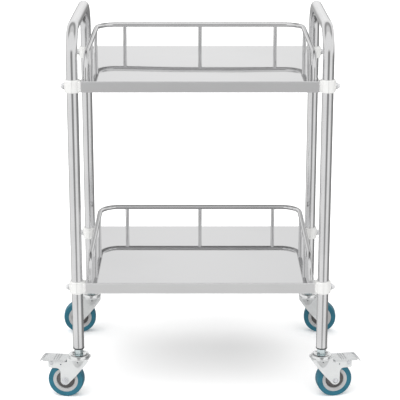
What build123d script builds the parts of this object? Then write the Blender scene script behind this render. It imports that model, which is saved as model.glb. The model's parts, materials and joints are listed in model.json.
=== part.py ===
from build123d import *
import os
from math import cos, pi, sin

os.makedirs("parts", exist_ok=True)

# Two-tier instrument cart. Millimetres, +Z up, -Y is the open side that a user faces,
# origin on the floor in the middle of the cart.

# ---------------------------------------------------------------- driving dimensions
LEG_X = 273.0            # leg centre line from the cart's middle plane
LEG_Y = 197.0            # leg centre line, front and back
TUBE_R = 12.5            # leg tube, outside radius
TUBE_WALL = 1.0
LEG_FOOT_Z = 117.5       # lower end of the leg tube
PLUG_FLANGE = 3.5        # plastic rim that shows below the leg tube
HANDLE_Z = 835.0         # centre line of the push handle across the top
HANDLE_BEND_R = 61.0     # centre-line radius of the two bends

SHELF_HALF_X = 255.0
SHELF_HALF_Y = 209.5
SHELF_T = 1.2            # sheet thickness
SHELF_FLANGE = 24.0      # down-turned edge
SHELF_BEND_R = 1.8       # outside radius of the folded edge
SHELF_TOPS = {"upper": 728.0, "lower": 273.0}
CLAMP_DROP = 12.0        # clamp centre below the shelf surface

RAIL_R = 5.5             # guard rail tube, outside radius
RAIL_WALL = 0.8
RAIL_RISE = 53.5         # rail centre line above the shelf
RAIL_X = 244.0           # side runs of the rail
RAIL_BACK_Y = 197.0      # back run
RAIL_FRONT_Y = -195.5    # where each side run turns down
RAIL_CORNER_R = 45.0     # plan bends at the back corners
RAIL_END_R = 37.0        # bends down to the shelf
PAST = 5.0               # how far a cutter reaches past the sheet that it drills
POST_R = 4.5
BACK_POST_X = (-180.0, 0.0, 180.0)
SIDE_POST_Y = (-32.0, 113.0)

CLAMP_R = 17.0           # plastic clamp, outside radius
CLAMP_H = 28.0
CLAMP_SEAM = 0.3         # gap between the two half shells
CLAMP_EDGE_R = 2.5       # rounding of its upper and lower edges
BOSS_R = 8.5             # flat boss under the nut
BOSS_X = CLAMP_R + 0.6   # outer face of that boss, from the leg's axis
PAD_W, PAD_H = 22.0, CLAMP_H - 4.0   # flat pad against the shelf's flange
BOLT_R = 3.0             # clamp bolt
BOLT_HOLE_R = 3.2
BOLT_HEAD_R, BOLT_HEAD_T = 5.5, 3.4
WASHER_R, WASHER_T = 7.6, 1.2
NUT_HEX_H = 3.6
NUT_R = 6.4              # across-corners radius of the cap nut
NUT_THREAD = 6.0         # depth of its blind thread

# caster, measured from its swivel axis; the wheel trails towards +x before it is placed
WHEEL_R = 40.0
WHEEL_W = 24.0
TREAD_R = 28.4           # inside radius of the tread
TRAIL = 29.5
FORK_GAP = 29.6          # between the cheeks
CHEEK_T = 2.2
CROWN_TOP = 94.0         # upper face of the fork's crown
CROWN_T = 2.6
CROWN_R = 23.0
AXLE_R = 4.0
AXLE_HEAD_R = 6.0
RUNNING = 0.05           # radial clearance of every turning fit
KING_R = 5.0             # swivel pin
BALL_R = 3.0
BALL_TRACK_R = 17.0
BALL_COUNT = 16
RACE_R = 23.2
RACE_T = 1.4
RACE_FLOOR = 3.0         # middle of the dished race, above the crown
STEM_R = 6.0
HEX_R = 10.2             # stem's hexagon, across corners / 2
PIVOT_X, PIVOT_Z = 60.0, 82.0   # brake pedal's pin
PIN_R = 3.0
SWIVEL_FRONT = {"left": 8.0, "right": 11.0}   # degrees that a front wheel is turned from sideways
SWIVEL_REAR = 4.0

TUBE_IN_R = TUBE_R - TUBE_WALL
CLAMP_ZS = [z - CLAMP_DROP for z in SHELF_TOPS.values()]
FORK_OUT = FORK_GAP / 2 + CHEEK_T


# ---------------------------------------------------------------- small helpers
def save(node, *solids):
    """Write one node; several solids become a group of separate pieces."""
    shape = solids[0] if len(solids) == 1 else Compound(children=list(solids))
    shape.label = node
    export_step(shape, f"parts/{node}.step")


def rod(radius, start, end):
    """Solid cylinder from one point to another."""
    a, b = Vector(*start), Vector(*end)
    return extrude(Plane(a, z_dir=b - a) * Circle(radius), (b - a).length)


def pipe(path, radius, wall):
    """Hollow tube along a path of straight runs and arcs."""
    section = path ^ 0
    ring = section * Circle(radius) - section * Circle(radius - wall)
    return sweep(ring, path=path)


def turned(profile):
    """Round piece from half its section, given as (radius, height) points."""
    return revolve(make_face(Plane.XZ * Polyline(*profile, close=True)), Axis.Z)


# ---------------------------------------------------------------- end frames
def end_frame(side):
    """Inverted U: front leg, handle and back leg from one bent tube, drilled for the bolts."""
    x, reach = side * LEG_X, 2 * TUBE_R
    path = FilletPolyline((x, -LEG_Y, LEG_FOOT_Z), (x, -LEG_Y, HANDLE_Z), (x, LEG_Y, HANDLE_Z),
                          (x, LEG_Y, LEG_FOOT_Z), radius=HANDLE_BEND_R)
    tube = pipe(path, TUBE_R, TUBE_WALL)
    for y in (-LEG_Y, LEG_Y):
        for z in CLAMP_ZS:
            tube -= rod(BOLT_HOLE_R, (x - reach, y, z), (x + reach, y, z))
    return tube


def leg_plug():
    """Plastic insert in the leg's foot that holds the caster stem, about the leg's axis."""
    depth, lead = 30.0, 1.5
    z = LEG_FOOT_Z
    return turned([
        (STEM_R + RUNNING, z - PLUG_FLANGE), (TUBE_R - 1.4, z - PLUG_FLANGE),
        (TUBE_R - 0.4, z - PLUG_FLANGE + 0.5), (TUBE_R + 0.3, z - PLUG_FLANGE + 1.6),
        (TUBE_R + 0.3, z), (TUBE_IN_R, z), (TUBE_IN_R, z + depth - lead),
        (TUBE_IN_R - lead, z + depth), (STEM_R + RUNNING, z + depth),
    ])


# ---------------------------------------------------------------- shelves and guard rails
def shelf(top):
    """Folded sheet tray, open below, with holes for the rail, its posts and the clamp bolts."""
    z = top - SHELF_FLANGE
    outer = Pos(0, 0, z) * extrude(Rectangle(2 * SHELF_HALF_X, 2 * SHELF_HALF_Y), SHELF_FLANGE)
    outer = fillet(outer.edges().filter_by(Axis.Z), SHELF_BEND_R)
    outer = fillet(outer.faces().sort_by(Axis.Z)[-1].edges(), SHELF_BEND_R)
    inner = Pos(0, 0, z) * extrude(
        Rectangle(2 * (SHELF_HALF_X - SHELF_T), 2 * (SHELF_HALF_Y - SHELF_T)), SHELF_FLANGE - SHELF_T)
    inner = fillet(inner.edges().filter_by(Axis.Z), SHELF_BEND_R - SHELF_T)
    inner = fillet(inner.faces().sort_by(Axis.Z)[-1].edges(), SHELF_BEND_R - SHELF_T)
    tray = outer - inner
    for x, y, r in upright_places():
        tray -= rod(r + 0.1, (x, y, top - PAST), (x, y, top + PAST))
    for y in (-LEG_Y, LEG_Y):
        z_bolt = top - CLAMP_DROP
        for x in (-SHELF_HALF_X, SHELF_HALF_X):
            tray -= rod(BOLT_HOLE_R, (x - PAST, y, z_bolt), (x + PAST, y, z_bolt))
    return tray


def post_places():
    """Plan positions of the guard posts: along the back run and both side runs."""
    back = [(x, RAIL_BACK_Y) for x in BACK_POST_X]
    return back + [(side * RAIL_X, y) for side in (-1, 1) for y in SIDE_POST_Y]


def upright_places():
    """Every round upright that passes through the shelf, with its radius."""
    rail_ends = [(side * RAIL_X, RAIL_FRONT_Y, RAIL_R) for side in (-1, 1)]
    return rail_ends + [(x, y, POST_R) for x, y in post_places()]


def guard_rail(top):
    """One tube round the back and both sides, its front ends turned down through the shelf."""
    z, foot = top + RAIL_RISE, top - SHELF_T
    path = FilletPolyline(
        (-RAIL_X, RAIL_FRONT_Y, foot), (-RAIL_X, RAIL_FRONT_Y, z), (-RAIL_X, RAIL_BACK_Y, z),
        (RAIL_X, RAIL_BACK_Y, z), (RAIL_X, RAIL_FRONT_Y, z), (RAIL_X, RAIL_FRONT_Y, foot),
        radius=[RAIL_END_R, RAIL_CORNER_R, RAIL_CORNER_R, RAIL_END_R])
    return pipe(path, RAIL_R, RAIL_WALL)


def guard_posts(top):
    """Short uprights, coped to the underside of the rail."""
    z = top + RAIL_RISE
    posts = []
    for x, y in post_places():
        along_x = y == RAIL_BACK_Y
        dx, dy = (2 * RAIL_R, 0) if along_x else (0, 2 * RAIL_R)
        coping = rod(RAIL_R, (x - dx, y - dy, z), (x + dx, y + dy, z))
        posts.append(rod(POST_R, (x, y, top - SHELF_T), (x, y, z)) - coping)
    return posts


# ---------------------------------------------------------------- leg clamps, about the leg's axis
def clamp_ring():
    """Rounded collar round the leg tube, centred on z = 0."""
    ring = Cylinder(CLAMP_R, CLAMP_H)
    return fillet(ring.edges().filter_by(GeomType.CIRCLE), CLAMP_EDGE_R)


def clamp_outer():
    """Half shell on the outside (+x) of the leg, with a flat boss for the nut."""
    boss = rod(BOSS_R, (TUBE_R + 0.5, 0, 0), (BOSS_X, 0, 0))
    shell = clamp_ring() + fillet(boss.edges().sort_by(Axis.X)[-1], 0.8)
    half = Pos(CLAMP_SEAM / 2 + CLAMP_R, 0, 0) * Box(2 * CLAMP_R, 3 * CLAMP_R, 2 * CLAMP_H)
    shell = (shell - Cylinder(TUBE_R, 2 * CLAMP_H)) & half
    return shell - rod(BOLT_HOLE_R, (0, 0, 0), (2 * CLAMP_R, 0, 0))


def clamp_inner():
    """Half shell between the leg and the shelf's side flange, with a flat pad."""
    reach = LEG_X - SHELF_HALF_X
    pad = Pos(-reach / 2, 0, 0) * Box(reach, PAD_W, PAD_H)
    shell = clamp_ring() + fillet(pad.edges().filter_by(Axis.X), 3.0)
    half = Pos(-CLAMP_SEAM / 2 - CLAMP_R, 0, 0) * Box(2 * CLAMP_R, 3 * CLAMP_R, 2 * CLAMP_H)
    shell = (shell - Cylinder(TUBE_R, 2 * CLAMP_H)) & half
    return shell - rod(BOLT_HOLE_R, (-2 * CLAMP_R, 0, 0), (0, 0, 0))


def clamp_washer():
    return Pos(BOSS_X, 0, 0) * extrude(Plane.YZ * (Circle(WASHER_R) - Circle(BOLT_HOLE_R)), WASHER_T)


def cap_nut():
    """Domed nut: a short hexagon and a hemispherical cap, blind inside."""
    dome_r, dome_z = 5.4, NUT_HEX_H - 1.0
    hexagon = extrude(RegularPolygon(NUT_R, 6), NUT_HEX_H)
    upper_half = Pos(0, 0, 2 * NUT_R) * Box(4 * NUT_R, 4 * NUT_R, 4 * NUT_R)
    dome = Pos(0, 0, dome_z) * Sphere(dome_r) & upper_half
    nut = hexagon + dome - Cylinder(BOLT_R, 2 * NUT_THREAD)
    return Pos(BOSS_X + WASHER_T, 0, 0) * Rot(0, 90, 0) * nut


def clamp_bolt():
    """Bolt from inside the shelf's flange, through clamp and leg, into the cap nut."""
    seat_x = -(LEG_X - SHELF_HALF_X) - SHELF_T
    shank = rod(BOLT_R, (seat_x - 1.0, 0, 0), (BOSS_X + WASHER_T + NUT_THREAD - 0.5, 0, 0))
    head = rod(BOLT_HEAD_R, (seat_x - BOLT_HEAD_T, 0, 0), (seat_x, 0, 0))
    return shank + fillet(head.edges().sort_by(Axis.X)[0], 1.2)


def at_clamps(piece):
    """Copies of a clamp piece at the eight places where a shelf meets a leg."""
    copies = []
    for z in CLAMP_ZS:
        for y in (-LEG_Y, LEG_Y):
            copies.append(Pos(LEG_X, y, z) * piece)
            copies.append(Pos(-LEG_X, y, z) * Rot(0, 0, 180) * piece)
    return copies


# ---------------------------------------------------------------- caster, about its swivel axis
STEM_TOP = LEG_FOOT_Z + 24.0
HEX_TOP = LEG_FOOT_Z - PLUG_FLANGE
SEAT_Z = CROWN_TOP + RACE_FLOOR      # where the stem's shoulder sits on the race
KING_HEAD_Z = CROWN_TOP - CROWN_T - 0.3
GROOVES, GROOVE_PITCH, GROOVE_DEPTH = 9, 2.2, 0.5


def caster_stem():
    """Threaded stem, hexagon, and the swivel pin with its riveted head under the fork."""
    hex_z = SEAT_Z + 1.2
    stem = rod(STEM_R, (0, 0, hex_z), (0, 0, STEM_TOP))
    for i in range(GROOVES):
        z = LEG_FOOT_Z + 3.0 + GROOVE_PITCH * i
        stem -= Pos(0, 0, z) * (Cylinder(STEM_R + 1, 0.9) - Cylinder(STEM_R - GROOVE_DEPTH, 0.9))
    hexagon = Pos(0, 0, hex_z) * extrude(RegularPolygon(HEX_R, 6), HEX_TOP - hex_z)
    chamfered = Pos(0, 0, (hex_z + HEX_TOP) / 2) * Cylinder(HEX_R - 0.3, HEX_TOP - hex_z)
    chamfered = chamfer(chamfered.edges().filter_by(GeomType.CIRCLE), 0.9)
    shoulder = rod(HEX_R - 0.8, (0, 0, SEAT_Z), (0, 0, hex_z))
    pin = rod(KING_R, (0, 0, KING_HEAD_Z - 1.0), (0, 0, SEAT_Z))
    head = turned([
        (0, KING_HEAD_Z - 2.6), (6.4, KING_HEAD_Z - 2.6), (8.6, KING_HEAD_Z - 1.2), (8.6, KING_HEAD_Z),
        (0, KING_HEAD_Z)])
    return stem + (hexagon & chamfered) + shoulder + pin + head


def race_cap():
    """Dished upper race: flat middle, raised ring over the balls, skirt round the edge."""
    z, hub, inside = CROWN_TOP, KING_R + 0.1, RACE_R - RACE_T
    floor, under, hem = z + RACE_FLOOR, z + RACE_FLOOR - RACE_T, z + 0.5
    outer = Spline((10.2, floor), (11.9, z + 4.3), (13.2, z + 6.4), (17.0, z + 7.8), (21.4, z + 6.6),
                   (RACE_R, z + 3.0), tangents=[(1, 0.1), (0.05, -1)])
    inner = Spline((11.4, under), (12.9, z + 3.4), (14.1, z + 5.2), (17.0, z + 6.4), (20.4, z + 5.4),
                   (inside, z + 3.0), tangents=[(1, 0.1), (0.05, -1)])
    lines = [
        Line((hub, under), (hub, floor)), Line((hub, floor), (10.2, floor)), outer,
        Line((RACE_R, z + 3.0), (RACE_R, hem)), Line((RACE_R, hem), (inside, hem)),
        Line((inside, hem), (inside, z + 3.0)), inner, Line((11.4, under), (hub, under)),
    ]
    return revolve(Plane.XZ * make_face(Curve() + lines), Axis.Z)


def swivel_balls():
    """Ring of bearing balls between the race and the fork's crown."""
    step = 2 * pi / BALL_COUNT
    z = CROWN_TOP + BALL_R + 0.06
    places = [(BALL_TRACK_R * cos(i * step), BALL_TRACK_R * sin(i * step), z) for i in range(BALL_COUNT)]
    return [Pos(*p) * Sphere(BALL_R) for p in places]


EYE_R = 10.0                                 # round end of each cheek at the axle
ARM_X, ARM_Z, ARM_TOP = 67.0, 70.0, 86.2     # the arms that carry the brake: far end, lower and upper edge
STEP_X = 24.0                                # the arms start here, behind the crown
FLARE_H = 20.0                               # the cheeks widen to the round crown over this height
DIMPLE_R = 1.9                               # small tooling holes in the cheeks
CROWN_DIMPLE = (-1.0, CROWN_TOP - 6.0)
ARM_DIMPLE = (38.5, 79.0)


def cheek_outline(braked):
    """Side view of the fork, from the crown to the axle eye; a braked one has an arm."""
    front, back = -CROWN_R, TRAIL + EYE_R
    low = (TRAIL - 8.6, WHEEL_R - 5.1)
    tip = (TRAIL, WHEEL_R - EYE_R)
    chin = (front, CROWN_TOP - 5.5)
    edge = ThreePointArc(chin, (-5.6, 65.0), low)
    lead = [Line((front, CROWN_TOP), chin), edge, ThreePointArc(low, tip, (back, WHEEL_R))]
    if braked:
        knee, arm_start = (back, 60.5), (48.6, ARM_Z)
        rise = ThreePointArc(knee, (42.2, 67.2), arm_start)
        corner_start, corner_end = (ARM_X - 3.5, ARM_Z), (ARM_X, ARM_Z + 3.5)
        corner = ThreePointArc(corner_start, (ARM_X - 1.0, ARM_Z + 1.0), corner_end)
        trail = [Line((back, WHEEL_R), knee), rise, Line(arm_start, corner_start), corner,
                 Line(corner_end, (ARM_X, ARM_TOP)), Line((ARM_X, ARM_TOP), (STEP_X, ARM_TOP)),
                 Line((STEP_X, ARM_TOP), (STEP_X, CROWN_TOP)), Line((STEP_X, CROWN_TOP), (front, CROWN_TOP))]
    else:
        hip, shoulder = (back, 64.0), (TRAIL + 3.0, CROWN_TOP)
        trail = [Line((back, WHEEL_R), hip), Line(hip, shoulder), Line(shoulder, (front, CROWN_TOP))]
    return Plane.XZ * make_face(Curve() + lead + trail)


def across(radius, x, z):
    """Cutter for a hole through both cheeks."""
    return rod(radius, (x, -2 * FORK_OUT, z), (x, 2 * FORK_OUT, z))


def fork(braked):
    """Pressed fork: round crown, two tapering cheeks, and arms for the brake on a braked one."""
    outline = cheek_outline(braked)
    body = extrude(outline, FORK_OUT, both=True)
    crown = Pos(0, 0, CROWN_TOP - CROWN_T / 2) * Cylinder(CROWN_R, CROWN_T)
    flare = Pos(0, 0, CROWN_TOP - CROWN_T - FLARE_H / 2) * Cone(FORK_OUT - 0.6, CROWN_R, FLARE_H)
    body = body + crown + (flare & extrude(outline, 2 * CROWN_R, both=True))
    hollow_h = CROWN_TOP - CROWN_T
    body -= Pos(TRAIL, 0, hollow_h / 2) * Box(8 * CROWN_R, FORK_GAP, hollow_h)
    if braked:
        body -= across(PIN_R + RUNNING, PIVOT_X, PIVOT_Z)
        body -= across(DIMPLE_R - 0.3, *ARM_DIMPLE)
    body -= across(AXLE_R + 0.1, TRAIL, WHEEL_R)
    body -= across(DIMPLE_R, *CROWN_DIMPLE)
    return body - rod(KING_R + RUNNING, (0, 0, CROWN_TOP - PAST), (0, 0, CROWN_TOP + PAST))


def along_axle(radius, y0, y1):
    return rod(radius, (TRAIL, y0, WHEEL_R), (TRAIL, y1, WHEEL_R))


AXLE_NUT_R, AXLE_NUT_H = 7.5, 5.0
AXLE_END = FORK_OUT + AXLE_NUT_H + 1.4


def axle_bolt():
    """Axle with a low domed head on the near cheek and a thread end past the nut."""
    head_h, dome_r = 3.2, 2.2
    shank = along_axle(AXLE_R, -FORK_OUT, AXLE_END)
    head = along_axle(AXLE_HEAD_R, -FORK_OUT - head_h, -FORK_OUT)
    return shank + fillet(head.edges().sort_by(Axis.Y)[0], dome_r)


def axle_nut():
    face = Plane(origin=(TRAIL, FORK_OUT, WHEEL_R), z_dir=(0, 1, 0))
    return face * extrude(RegularPolygon(AXLE_NUT_R, 6), AXLE_NUT_H) - along_axle(AXLE_R, 0, 2 * AXLE_END)


def about_axle(half):
    """Round wheel piece from half its section, drawn as (radius, offset along the axle)."""
    return Pos(TRAIL, 0, WHEEL_R) * Rot(90, 0, 0) * revolve(Plane.XZ * half, Axis.Z)


def tyre():
    """Polyurethane tread, slightly crowned, moulded round the core's rim."""
    w, lip = WHEEL_W / 2, 0.6
    side_r, edge_r = WHEEL_R - 2.4, WHEEL_R - 0.5

    def shoulder(sign):
        mid = (WHEEL_R - 1.1, sign * (w - 0.6))
        return ThreePointArc((side_r, sign * w), mid, (edge_r, sign * (w - 2.2)))

    crown = ThreePointArc((edge_r, w - 2.2), (WHEEL_R, 0), (edge_r, 2.2 - w))
    lines = [
        Line((TREAD_R, w - lip), (side_r, w)), shoulder(1), crown, shoulder(-1),
        Line((side_r, -w), (TREAD_R, lip - w)), Line((TREAD_R, lip - w), (TREAD_R, w - lip)),
    ]
    return about_axle(make_face(Curve() + lines))


HUB_R, BUSH_R = 11.0, 6.5


def wheel_core():
    """Moulded wheel centre: rim, thin web and hub, bored for the bush."""
    rim_w, web_w, hub_w = WHEEL_W / 2 - 0.6, 5.0, WHEEL_W / 2 + 0.8
    rim_in, edge = 20.5, 1.2
    near = [(BUSH_R, hub_w), (HUB_R, hub_w), (HUB_R, web_w), (rim_in - 1.0, web_w),
            (rim_in, rim_w - edge), (rim_in + edge, rim_w), (TREAD_R, rim_w)]
    far = [(r, -y) for r, y in reversed(near)]
    return about_axle(make_face(Polyline(*near, *far, close=True)))


def wheel_bush():
    """Flanged sleeve pressed in the hub, running on the axle."""
    y = FORK_GAP / 2 - 0.3
    return along_axle(BUSH_R, -y, y) - along_axle(AXLE_R + RUNNING, -y - 1, y + 1)


def thread_guards():
    """Dished plastic discs on both sides of the hub that keep thread and hair out."""
    low, high, t = 8.2, WHEEL_W / 2 + 0.4, 1.2
    hole_r, flat_r, edge_r = HUB_R + 0.1, 13.0, 19.3
    ring = [(hole_r, high - t), (hole_r, high), (flat_r, high), (edge_r, low + t), (edge_r, low),
            (flat_r, high - t)]
    sides = [ring, [(r, -y) for r, y in ring]]
    return [about_axle(make_face(Polyline(*side, close=True))) for side in sides]


# brake, in the same place as the fork
PEDAL_Z = 88.5                     # underside of the pedal's tread plate
PEDAL_T = 2.2
PEDAL_TOP = PEDAL_Z + PEDAL_T
PEDAL_HALF_W = 19.0
SKIRT_T, SKIRT_LOW = 1.5, 86.5     # folded sides of the pedal, outside the arms
EAR_T = 1.6
EAR_Y = FORK_GAP / 2 - 1.2         # middle of each ear
PEDAL_ROOT_X, PEDAL_LIP_X, PEDAL_TIP_X = 25.5, 81.0, 87.0
GROOVE_XS = {42.5: 2.6, 48.2: 1.8, 53.8: 1.8}   # cross grooves in the tread plate, and their widths
RECESS_DEPTH = 1.3
SHOE_LOW = 68.9                    # rubbing face, clear of the tread until the pedal is pressed
SHOE_T = 6.8


def pedal():
    """Foot pedal: grooved plate with folded sides, a sloping lip and two ears down to the pin."""
    slope_z = PEDAL_Z - 3.6
    outline = [
        (PEDAL_ROOT_X, PEDAL_Z), (PEDAL_LIP_X, PEDAL_Z), (PEDAL_TIP_X - 1.2, slope_z - 1.2),
        (PEDAL_TIP_X, slope_z), (PEDAL_LIP_X + 0.8, PEDAL_TOP), (PEDAL_ROOT_X, PEDAL_TOP),
    ]
    plate = extrude(Plane.XZ * make_face(Polyline(*outline, close=True)), PEDAL_HALF_W, both=True)
    plate = fillet(plate.edges().filter_by(Axis.Z), 2.0)
    skirt_x0, skirt_x1 = PEDAL_ROOT_X + 3.0, PEDAL_LIP_X - 2.0
    skirt_high = PEDAL_Z + 0.5
    for side in (-1, 1):
        y = side * (PEDAL_HALF_W - SKIRT_T / 2)
        plate += Pos((skirt_x0 + skirt_x1) / 2, y, (SKIRT_LOW + skirt_high) / 2) * Box(
            skirt_x1 - skirt_x0, SKIRT_T, skirt_high - SKIRT_LOW)
    for x, width in GROOVE_XS.items():
        plate -= Pos(x, 0, PEDAL_TOP) * Box(width, 2 * PEDAL_HALF_W - 5.0, 2 * RECESS_DEPTH)
    plate -= Pos(PEDAL_LIP_X - 4.2, 0, PEDAL_TOP) * Box(5.4, 2 * PEDAL_HALF_W - 9.0, 2 * RECESS_DEPTH)
    ear_low, ear_high = PIVOT_Z - 4.8, PEDAL_Z + 0.5
    ears = []
    for side in (-1, 1):
        ear = Pos(PIVOT_X - 1, side * EAR_Y, (ear_low + ear_high) / 2) * Box(11, EAR_T, ear_high - ear_low)
        ears.append(fillet(ear.edges().filter_by(Axis.Y).sort_by(Axis.Z)[:2], 3.0))
    return plate + ears - across(PIN_R, PIVOT_X, PIVOT_Z)


def brake_shoe():
    """Rubbing block under the pedal that is pushed against the tread."""
    half_w = EAR_Y - EAR_T / 2
    block = Pos(PIVOT_X + 2.0, 0, (SHOE_LOW + PEDAL_Z) / 2) * Box(SHOE_T, 2 * half_w, PEDAL_Z - SHOE_LOW)
    shoe = fillet(block.edges().filter_by(Axis.Y).sort_by(Axis.Z)[:2], 2.0)
    return shoe - across(PIN_R, PIVOT_X, PIVOT_Z)


def pedal_pin():
    """Pin through arms, ears and shoe, with a round head on both ends."""
    head_r, head_t, play = 4.2, 1.6, 0.05
    reach = FORK_OUT + head_t / 2
    pin = rod(PIN_R, (PIVOT_X, -reach, PIVOT_Z), (PIVOT_X, reach, PIVOT_Z))
    for side in (-1, 1):
        start, end = side * (FORK_OUT + play), side * (FORK_OUT + head_t)
        head = rod(head_r, (PIVOT_X, start, PIVOT_Z), (PIVOT_X, end, PIVOT_Z))
        rim = head.edges().filter_by(GeomType.CIRCLE).sort_by(Axis.Y)[-1 if side > 0 else 0]
        pin += fillet(rim, 1.0)
    return pin


# ---------------------------------------------------------------- placing and writing
# name, leg position, and the direction that the wheel trails in, degrees from +X
CASTERS = {
    "front_left": (-LEG_X, -LEG_Y, 180 - SWIVEL_FRONT["left"]),
    "front_right": (LEG_X, -LEG_Y, SWIVEL_FRONT["right"]),
    "rear_left": (-LEG_X, LEG_Y, 180 + SWIVEL_REAR),
    "rear_right": (LEG_X, LEG_Y, -SWIVEL_REAR),
}


def write_frame():
    save("end_frame_left", end_frame(-1))
    save("end_frame_right", end_frame(1))
    for tier, top in SHELF_TOPS.items():
        save(f"shelf_{tier}", shelf(top))
        save(f"guard_rail_{tier}", guard_rail(top))
        save(f"guard_posts_{tier}", *guard_posts(top))
    save("clamp_outer_shells", *at_clamps(clamp_outer()))
    save("clamp_inner_shells", *at_clamps(clamp_inner()))
    save("clamp_bolts", *at_clamps(clamp_bolt()))
    save("clamp_washers", *at_clamps(clamp_washer()))
    save("clamp_cap_nuts", *at_clamps(cap_nut()))


def write_casters():
    plugs, balls = [], []
    for name, (x, y, heading) in CASTERS.items():
        place = Pos(x, y, 0) * Rot(0, 0, heading)
        braked = name.startswith("front")
        plugs.append(place * leg_plug())
        balls += [place * ball for ball in swivel_balls()]
        save(f"caster_stem_{name}", place * caster_stem())
        save(f"swivel_race_{name}", place * race_cap())
        save(f"fork_{name}", place * fork(braked))
        save(f"axle_bolt_{name}", place * axle_bolt())
        save(f"axle_nut_{name}", place * axle_nut())
        save(f"tyre_{name}", place * tyre())
        save(f"wheel_core_{name}", place * wheel_core())
        save(f"wheel_bush_{name}", place * wheel_bush())
        save(f"thread_guards_{name}", *[place * guard for guard in thread_guards()])
        if braked:
            save(f"brake_pedal_{name}", place * pedal())
            save(f"brake_shoe_{name}", place * brake_shoe())
            save(f"pedal_pin_{name}", place * pedal_pin())
    save("leg_plugs", *plugs)
    save("swivel_balls", *balls)


write_frame()
write_casters()
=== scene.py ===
"""Looks of the two-tier instrument cart: materials, floor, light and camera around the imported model."""
import bpy
import bmesh
import json
import math
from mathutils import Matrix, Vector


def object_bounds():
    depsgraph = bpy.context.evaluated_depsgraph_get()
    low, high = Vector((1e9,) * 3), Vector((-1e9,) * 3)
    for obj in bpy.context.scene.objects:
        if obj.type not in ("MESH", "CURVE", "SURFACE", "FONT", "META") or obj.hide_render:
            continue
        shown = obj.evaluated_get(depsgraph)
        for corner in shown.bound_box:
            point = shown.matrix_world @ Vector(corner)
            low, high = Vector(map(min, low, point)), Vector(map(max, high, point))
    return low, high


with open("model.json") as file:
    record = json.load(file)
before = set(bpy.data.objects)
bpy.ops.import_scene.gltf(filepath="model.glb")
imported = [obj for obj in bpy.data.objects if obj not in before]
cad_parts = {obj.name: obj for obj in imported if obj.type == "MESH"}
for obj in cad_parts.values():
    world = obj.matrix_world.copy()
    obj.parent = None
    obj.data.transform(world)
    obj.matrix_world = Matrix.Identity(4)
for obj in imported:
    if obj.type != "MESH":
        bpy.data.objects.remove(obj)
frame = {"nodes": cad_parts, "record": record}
cad_box = [list(corner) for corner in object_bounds()]

# ---------------------------------------------------------------- named values
# camera, metres and degrees: a long lens from the open front, a little above the handles
CAMERA_AT = (-0.0039, -3.185, 1.3514)
CAMERA_PITCH = 15.78
CAMERA_TURN = -0.07
LENS_MM = 128.5
CAMERA_SHIFT_Y = -0.05

FLOOR_RADIUS = 30.0
ROOM_LEVEL = 0.93        # brightness of the room in the metals, and how much darker its parts are
BACK_GLOW = 0.05
FRONT_DARK = 0.62
RIGHT_DARK = 0.66
LEFT_DARK = 0.5
FLOOR_DARK = 0.78
ROOF_DARK = 0.55
TOP_LIGHT = 2.4
FLOOR_GLOW = 0.13        # lifts the shadow under the cart
MM = 0.001


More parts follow.
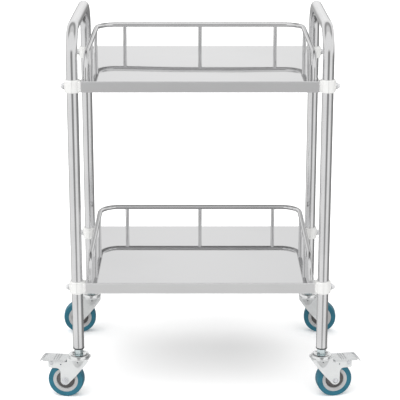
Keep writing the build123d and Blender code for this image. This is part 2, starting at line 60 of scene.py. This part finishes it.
# ---------------------------------------------------------------- node helpers
class Shader:
    """A node material with one Principled shader, written as short calls."""

    def __init__(self, name, color, metallic, roughness, specular=0.5):
        self.material = bpy.data.materials.new(name)
        self.material.use_nodes = True
        self.nodes = self.material.node_tree.nodes
        self.links = self.material.node_tree.links
        self.surface = self.nodes["Principled BSDF"]
        self.surface.inputs["Base Color"].default_value = (*color, 1.0)
        self.surface.inputs["Metallic"].default_value = metallic
        self.surface.inputs["Roughness"].default_value = roughness
        self.surface.inputs["Specular IOR Level"].default_value = specular
        self.coords = self.nodes.new("ShaderNodeTexCoord").outputs["Object"]
        self.normal = None

    def put(self, socket, source):
        if isinstance(source, bpy.types.NodeSocket):
            self.links.new(source, socket)
        else:
            socket.default_value = source

    def stretched(self, scale):
        """Object coordinates scaled along X, Y and Z."""
        node = self.nodes.new("ShaderNodeMapping")
        node.inputs["Scale"].default_value = scale
        self.links.new(self.coords, node.inputs["Vector"])
        return node.outputs["Vector"]

    def noise(self, scale, detail=3.0, stretch=None, distortion=0.0):
        node = self.nodes.new("ShaderNodeTexNoise")
        node.inputs["Scale"].default_value = scale
        node.inputs["Detail"].default_value = detail
        node.inputs["Distortion"].default_value = distortion
        self.links.new(self.stretched(stretch) if stretch else self.coords, node.inputs["Vector"])
        return node.outputs["Fac"]

    def cells(self, scale, feature="F1"):
        node = self.nodes.new("ShaderNodeTexVoronoi")
        node.feature = feature
        node.inputs["Scale"].default_value = scale
        self.links.new(self.coords, node.inputs["Vector"])
        return node.outputs["Distance"]

    def math(self, operation, a, b=0.0, clamp=False):
        node = self.nodes.new("ShaderNodeMath")
        node.operation = operation
        node.use_clamp = clamp
        self.put(node.inputs[0], a)
        self.put(node.inputs[1], b)
        return node.outputs[0]

    def span(self, value, low, high, new_low, new_high):
        """value, from low..high, clamped onto new_low..new_high."""
        node = self.nodes.new("ShaderNodeMapRange")
        self.put(node.inputs["Value"], value)
        for name, number in (("From Min", low), ("From Max", high), ("To Min", new_low), ("To Max", new_high)):
            self.put(node.inputs[name], number)
        return node.outputs["Result"]

    def tint(self, factor, color_a, color_b):
        node = self.nodes.new("ShaderNodeMix")
        node.data_type = "RGBA"
        self.put(node.inputs[0], factor)
        for socket, color in ((node.inputs[6], color_a), (node.inputs[7], color_b)):
            self.put(socket, (*color, 1.0) if isinstance(color, tuple) else color)
        return node.outputs[2]

    def facing_up(self):
        """1 where the surface faces straight up, 0 where it is vertical."""
        geometry = self.nodes.new("ShaderNodeNewGeometry")
        split = self.nodes.new("ShaderNodeSeparateXYZ")
        self.links.new(geometry.outputs["Normal"], split.inputs[0])
        return split.outputs["Z"]

    def bump(self, height, distance, strength=1.0):
        node = self.nodes.new("ShaderNodeBump")
        node.inputs["Distance"].default_value = distance
        node.inputs["Strength"].default_value = strength
        self.links.new(height, node.inputs["Height"])
        if self.normal:
            self.links.new(self.normal, node.inputs["Normal"])
        self.normal = node.outputs["Normal"]
        self.links.new(self.normal, self.surface.inputs["Normal"])

    def color(self, source):
        self.put(self.surface.inputs["Base Color"], source)

    def roughness(self, source):
        self.put(self.surface.inputs["Roughness"], source)


# ---------------------------------------------------------------- metals
def polished_tube(name, color, rough, stretch, top_shade=1.0):
    """Belt-polished stainless tube: fine rings, faint handling marks, and painted shade darkening the top."""
    s = Shader(name, color, 1.0, rough)
    smudge = s.noise(14.0, 4.0)
    lines = s.noise(1.0, 2.0, stretch)
    s.roughness(s.math("ADD", s.span(smudge, 0.35, 0.7, rough - 0.02, rough + 0.05), s.math("MULTIPLY", lines, 0.03)))
    darker = tuple(c * 0.94 for c in color)
    metal = s.tint(s.span(smudge, 0.4, 0.65, 0.0, 1.0), color, darker)
    # painted shade: up-facing tube surfaces get a darker colour (top_shade), standing in for a darker reflection
    # along the top
    painted_top_shade_mask = s.span(s.facing_up(), 0.8, 0.94, 0.0, 1.0)
    s.color(s.tint(painted_top_shade_mask, metal, tuple(c * top_shade for c in color)))
    s.bump(lines, 0.012 * MM, 0.5)
    return s.material


def polished_sheet(name, color, painted_light_edge_color, edge_rough, bow):
    """Mirror-polished shelf top with a slight bow in the thin sheet, and satin folded edges with a lighter painted
    colour that stands in for brighter reflections.
    """
    s = Shader(name, color, 1.0, 0.05)
    up = s.facing_up()
    top = s.span(up, 0.5, 0.95, 0.0, 1.0)
    scratch = s.noise(1.0, 3.0, (9.0, 700.0, 700.0))
    smudge = s.noise(5.0, 4.0)
    satin = s.math("ADD", s.span(smudge, 0.35, 0.7, edge_rough - 0.03, edge_rough + 0.03),
                   s.math("MULTIPLY", scratch, 0.05))
    mirror = s.math("ADD", s.span(smudge, 0.4, 0.75, 0.02, 0.04), s.math("MULTIPLY", scratch, 0.015))
    blend = s.nodes.new("ShaderNodeMix")
    s.put(blend.inputs[0], top)
    s.put(blend.inputs[2], satin)
    s.put(blend.inputs[3], mirror)
    s.roughness(blend.outputs[0])
    sheet = s.tint(s.span(smudge, 0.45, 0.7, 0.0, 1.0), color, tuple(c * 0.97 for c in color))
    # painted light: the folded edges get a lighter colour than the top of the same steel, standing in for brighter
    # reflections there
    s.color(s.tint(top, painted_light_edge_color, sheet))
    wave = s.noise(2.6, 1.0, (1.0, 0.5, 0.0))
    s.bump(s.math("MULTIPLY", wave, top), bow * MM)
    s.bump(scratch, 0.006 * MM, 0.4)
    return s.material


def bright_zinc(name, color, rough, metal=1.0, spangle=0.05):
    """Bright zinc on pressed steel: a faint crystal pattern, orange peel and small scuffs."""
    s = Shader(name, color, metal, rough)
    grain = s.cells(420.0)
    cloud = s.noise(60.0, 5.0)
    scuff = s.noise(1.0, 2.0, (900.0, 900.0, 120.0))
    s.roughness(s.math("ADD", s.span(cloud, 0.35, 0.7, rough - 0.05, rough + 0.08), s.math("MULTIPLY", scuff, 0.05)))
    duller = (color[0] * 0.9, color[1] * 0.91, color[2] * 0.93)
    s.color(s.tint(s.math("MULTIPLY", grain, spangle * 12.0, clamp=True), color, duller))
    s.bump(cloud, 0.05 * MM, 0.25)
    s.bump(scuff, 0.01 * MM, 0.3)
    return s.material


def chrome(name, color, rough):
    """Bright plating with faint clouding."""
    s = Shader(name, color, 1.0, rough)
    cloud = s.noise(90.0, 4.0)
    s.roughness(s.span(cloud, 0.35, 0.7, rough, rough + 0.05))
    s.color(s.tint(cloud, color, tuple(c * 0.95 for c in color)))
    s.bump(cloud, 0.02 * MM, 0.25)
    return s.material


# ---------------------------------------------------------------- plastics and polyurethane
def moulded(name, color, rough, shade=0.93, specular=0.5, grain=0.06):
    """Moulded plastic: fine erosion grain, slow colour drift and rubbed, smoother patches."""
    s = Shader(name, color, 0.0, rough, specular)
    drift = s.noise(40.0, 4.0)
    fine = s.noise(2600.0, 2.0)
    s.color(s.tint(s.span(drift, 0.35, 0.7, 0.0, 1.0), color, tuple(c * shade for c in color)))
    s.roughness(s.span(drift, 0.3, 0.7, rough + 0.07, rough - 0.05))
    s.bump(fine, grain * MM, 0.25)
    return s.material


def polyurethane(name, color):
    """Cast tread: satin, faintly mottled, scuffed on the running surface."""
    s = Shader(name, color, 0.0, 0.38, 0.45)
    mottle = s.noise(75.0, 5.0)
    scuff = s.noise(1.0, 3.0, (500.0, 140.0, 500.0))
    deep = tuple(c * 0.78 for c in color)
    s.color(s.tint(s.span(mottle, 0.3, 0.75, 0.0, 1.0), color, deep))
    s.roughness(s.math("ADD", s.span(mottle, 0.3, 0.7, 0.33, 0.45), s.math("MULTIPLY", scuff, 0.08)))
    s.bump(mottle, 0.12 * MM, 0.2)
    s.bump(scuff, 0.03 * MM, 0.3)
    return s.material


def floor_paint(name, color):
    """Pale seamless studio floor."""
    s = Shader(name, color, 0.0, 0.7, 0.2)
    drift = s.noise(0.8, 3.0)
    s.color(s.tint(drift, color, tuple(c * 0.995 for c in color)))
    s.roughness(s.span(drift, 0.3, 0.7, 0.65, 0.75))
    s.surface.inputs["Emission Color"].default_value = (1.0, 1.0, 1.0, 1.0)
    s.surface.inputs["Emission Strength"].default_value = FLOOR_GLOW
    return s.material


# the record's material slots, and what each one looks like
STAINLESS = (0.76, 0.76, 0.765)
LOOKS = {
    "stainless_tube": polished_tube("stainless_tube_look", STAINLESS, 0.1, (60.0, 60.0, 2600.0)),
    # the rails' top_shade of 0.5 paints shade along their tops
    "stainless_rail": polished_tube("stainless_rail_look", STAINLESS, 0.11, (900.0, 900.0, 900.0), 0.5),
    "white_clamp_plastic": moulded("white_clamp_look", (0.64, 0.64, 0.63), 0.34, 0.97),
    "chromed_nut": bright_zinc("chromed_nut_look", (0.78, 0.78, 0.78), 0.3, 0.45),
    "zinc_fastener": bright_zinc("zinc_fastener_look", (0.8, 0.81, 0.83), 0.24),
    "zinc_stem": bright_zinc("zinc_stem_look", (0.72, 0.8, 0.81), 0.2),
    "chromed_race": chrome("chromed_race_look", (0.88, 0.89, 0.89), 0.12),
    "bearing_steel": chrome("bearing_steel_look", (0.7, 0.7, 0.72), 0.1),
    "zinc_fork": bright_zinc("zinc_fork_look", (0.78, 0.79, 0.785), 0.36, 0.6),
    "teal_tread": polyurethane("teal_tread_look", (0.01, 0.128, 0.188)),
    "grey_core_plastic": moulded("grey_core_look", (0.38, 0.38, 0.38), 0.42),
    "bronze_bush": chrome("bronze_bush_look", (0.6, 0.42, 0.22), 0.3),
    "dark_guard_plastic": moulded("dark_guard_look", (0.085, 0.08, 0.08), 0.36, 0.8),
    "zinc_pedal": bright_zinc("zinc_pedal_look", (0.74, 0.75, 0.75), 0.2, 0.95),
    "dark_shoe_steel": bright_zinc("dark_shoe_look", (0.2, 0.19, 0.18), 0.4),
    "black_plug_plastic": moulded("black_plug_look", (0.02, 0.02, 0.02), 0.4, 0.8),
}
# painted light: each shelf's folded edges are coloured lighter than its top, the lower shelf's lightest, to stand in
# for brighter reflections
SHEETS = {
    "shelf_upper": polished_sheet("shelf_upper_look", (0.66, 0.66, 0.665), (0.86, 0.86, 0.865), 0.4, 4.5),
    "shelf_lower": polished_sheet("shelf_lower_look", (0.67, 0.67, 0.675), (1.0, 1.0, 1.0), 0.5, 0.8),
}


def dress_nodes():
    """Every CAD node gets the look of its record slot."""
    slots = {part["node"]: part["material_slot"] for part in frame["record"]["subparts"]}
    for name, node in frame["nodes"].items():
        look = SHEETS.get(name) or LOOKS[slots[name]]
        for place in node.material_slots:
            place.material = look


# ---------------------------------------------------------------- floor, light and camera
def make_floor():
    mesh = bpy.data.meshes.new("floor")
    shape = bmesh.new()
    bmesh.ops.create_circle(shape, cap_ends=True, segments=96, radius=FLOOR_RADIUS)
    shape.to_mesh(mesh)
    shape.free()
    floor = bpy.data.objects.new("floor", mesh)
    bpy.context.scene.collection.objects.link(floor)
    mesh.materials.append(floor_paint("floor_paint", (0.95, 0.95, 0.95)))
    floor.location.z = cad_box[0][2]
    floor.visible_glossy = False


class Sky:
    """Math nodes over the direction that a ray leaves the scene in."""

    def __init__(self, world):
        world.use_nodes = True
        self.nodes, self.links = world.node_tree.nodes, world.node_tree.links
        coords = self.nodes.new("ShaderNodeTexCoord")
        split = self.nodes.new("ShaderNodeSeparateXYZ")
        self.links.new(coords.outputs["Generated"], split.inputs[0])
        self.x, self.y, self.z = (split.outputs[name] for name in "XYZ")

    def calc(self, operation, a, b=0.0):
        node = self.nodes.new("ShaderNodeMath")
        node.operation = operation
        for socket, value in zip(node.inputs, (a, b)):
            if isinstance(value, bpy.types.NodeSocket):
                self.links.new(value, socket)
            else:
                socket.default_value = value
        return node.outputs[0]

    def ramp(self, value, low, high, new_low=0.0, new_high=1.0):
        node = self.nodes.new("ShaderNodeMapRange")
        node.interpolation_type = "SMOOTHSTEP"
        self.links.new(value, node.inputs["Value"])
        for name, number in (("From Min", low), ("From Max", high), ("To Min", new_low), ("To Max", new_high)):
            node.inputs[name].default_value = number
        return node.outputs["Result"]


def make_world():
    """Bright room; below eye level it has a dark strip in front and dark corners behind."""
    world = bpy.data.worlds.new("studio")
    bpy.context.scene.world = world
    sky = Sky(world)
    turn = sky.calc("DEGREES", sky.calc("ARCTAN2", sky.x, sky.calc("MULTIPLY", sky.y, -1.0)))
    away = sky.calc("ABSOLUTE", turn)
    rise = sky.calc("DEGREES", sky.calc("ARCSINE", sky.z))
    low = sky.ramp(rise, -6.0, 6.0, 1.0, 0.0)
    half = sky.ramp(rise, -22.0, -12.0, 7.0, 14.0)
    off = sky.calc("ABSOLUTE", sky.calc("SUBTRACT", turn, 2.0))
    strip = sky.ramp(sky.calc("SUBTRACT", off, half), 0.0, 13.0, 1.0, 0.0)
    strip = sky.calc("MULTIPLY", strip, sky.ramp(rise, -24.0, -14.0, 0.45, FRONT_DARK))
    strip = sky.calc("MULTIPLY", strip, sky.ramp(rise, 14.0, 26.0, 1.0, 0.0))
    right = sky.calc("MULTIPLY", sky.ramp(turn, 62.0, 92.0), RIGHT_DARK)
    left = sky.calc("MULTIPLY", sky.ramp(turn, -150.0, -100.0, 1.0, 0.0), LEFT_DARK)
    steep = sky.ramp(rise, -52.0, -30.0, FLOOR_DARK, 0.0)
    sides = sky.calc("MULTIPLY", sky.calc("MAXIMUM", sky.calc("MAXIMUM", right, left), steep), low)
    roof = sky.calc("MULTIPLY", sky.ramp(rise, 27.0, 40.0), sky.ramp(away, 75.0, 105.0, 0.0, ROOF_DARK))
    roof = sky.calc("MULTIPLY", roof, sky.ramp(rise, 50.0, 68.0, 1.0, 0.35))
    sides = sky.calc("MAXIMUM", sides, roof)
    glow = sky.ramp(away, 173.0, 180.0, 0.0, BACK_GLOW)
    level = sky.calc("SUBTRACT", sky.calc("ADD", ROOM_LEVEL, glow), sky.calc("MAXIMUM", strip, sides))
    background = sky.nodes["Background"]
    sky.links.new(level, background.inputs["Strength"])
    background.inputs["Color"].default_value = (1.0, 1.0, 1.0, 1.0)


def make_lights():
    """Soft daylight from above left that fills the floor; the metals reflect only the room."""
    light = bpy.data.lights.new("soft_top_light", "SUN")
    light.energy = TOP_LIGHT
    light.angle = math.radians(100.0)
    lamp = bpy.data.objects.new("soft_top_light", light)
    bpy.context.scene.collection.objects.link(lamp)
    lamp.rotation_euler = (math.radians(22.0), math.radians(-18.0), 0.0)
    lamp.visible_glossy = False


def make_camera():
    data = bpy.data.cameras.new("camera")
    data.lens, data.sensor_width = LENS_MM, 36.0
    data.shift_y = CAMERA_SHIFT_Y
    camera = bpy.data.objects.new("camera", data)
    camera.location = CAMERA_AT
    camera.rotation_euler = (math.radians(90.0 - CAMERA_PITCH), 0.0, math.radians(CAMERA_TURN))
    bpy.context.scene.collection.objects.link(camera)
    bpy.context.scene.camera = camera


# ---------------------------------------------------------------- the scene
dress_nodes()
make_floor()
make_world()
make_lights()
make_camera()
bpy.context.scene.view_settings.view_transform = "Standard"
